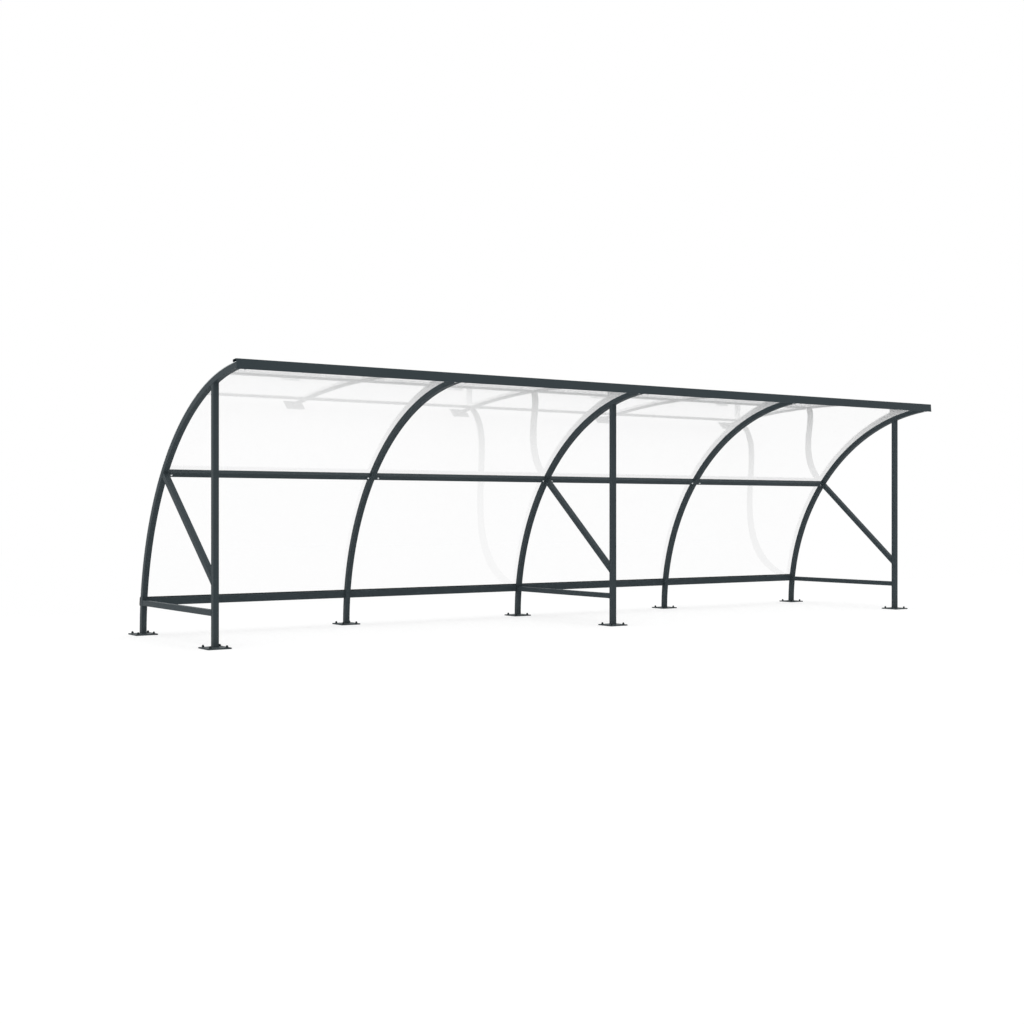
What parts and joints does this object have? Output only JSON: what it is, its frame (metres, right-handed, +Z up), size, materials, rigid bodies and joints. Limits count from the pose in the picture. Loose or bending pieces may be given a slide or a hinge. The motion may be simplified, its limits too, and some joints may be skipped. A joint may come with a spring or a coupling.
{
  "type": "canopy shelter",
  "caption": "Arched open-fronted shelter: curved steel ribs under clear bent roof sheets, with front posts, diagonal braces, purlins, a bottom rail and a front fascia.",
  "frame": {"origin": "on the ground, under the middle of the shelter's overall box", "axes": "+X along the shelter, -Y towards the open front, +Z up"},
  "size_m": [8.77, 2.2792, 2.3877],
  "materials": {
    "powder_coated_steel": "satin anthracite powder coat",
    "clear_sheet": "clear, smooth, glossy",
    "black_plastic": "moulded black cap, fine grained",
    "black_rubber": "matt black extruded rubber"
  },
  "bodies": {
    "root": {"bottom_rail": "powder_coated_steel", "bottom_rail_end_left": "black_plastic", "bottom_rail_end_right": "black_plastic", "bottom_seal": "black_rubber", "diagonal_brace_1": "powder_coated_steel", "diagonal_brace_2": "powder_coated_steel", "diagonal_brace_3": "powder_coated_steel", "fascia": "powder_coated_steel", "front_post_1": "powder_coated_steel", "front_post_2": "powder_coated_steel", "front_post_3": "powder_coated_steel", "middle_purlin_1": "powder_coated_steel", "middle_purlin_2": "powder_coated_steel", "middle_purlin_3": "powder_coated_steel", "middle_purlin_4": "powder_coated_steel", "post_base_plate_1": "powder_coated_steel", "post_base_plate_2": "powder_coated_steel", "post_base_plate_3": "powder_coated_steel", "rib_1": "powder_coated_steel", "rib_2": "powder_coated_steel", "rib_3": "powder_coated_steel", "rib_4": "powder_coated_steel", "rib_5": "powder_coated_steel", "rib_base_plate_1": "powder_coated_steel", "rib_base_plate_2": "powder_coated_steel", "rib_base_plate_3": "powder_coated_steel", "rib_base_plate_4": "powder_coated_steel", "rib_base_plate_5": "powder_coated_steel", "roof_sheet_1": "clear_sheet", "roof_sheet_2": "clear_sheet", "roof_sheet_3": "clear_sheet", "roof_sheet_4": "clear_sheet", "side_tie_1": "powder_coated_steel", "side_tie_2": "powder_coated_steel", "side_tie_3": "powder_coated_steel", "top_purlin_1": "powder_coated_steel", "top_purlin_2": "powder_coated_steel", "top_purlin_3": "powder_coated_steel", "top_purlin_4": "powder_coated_steel"}
  },
  "joints": []
}
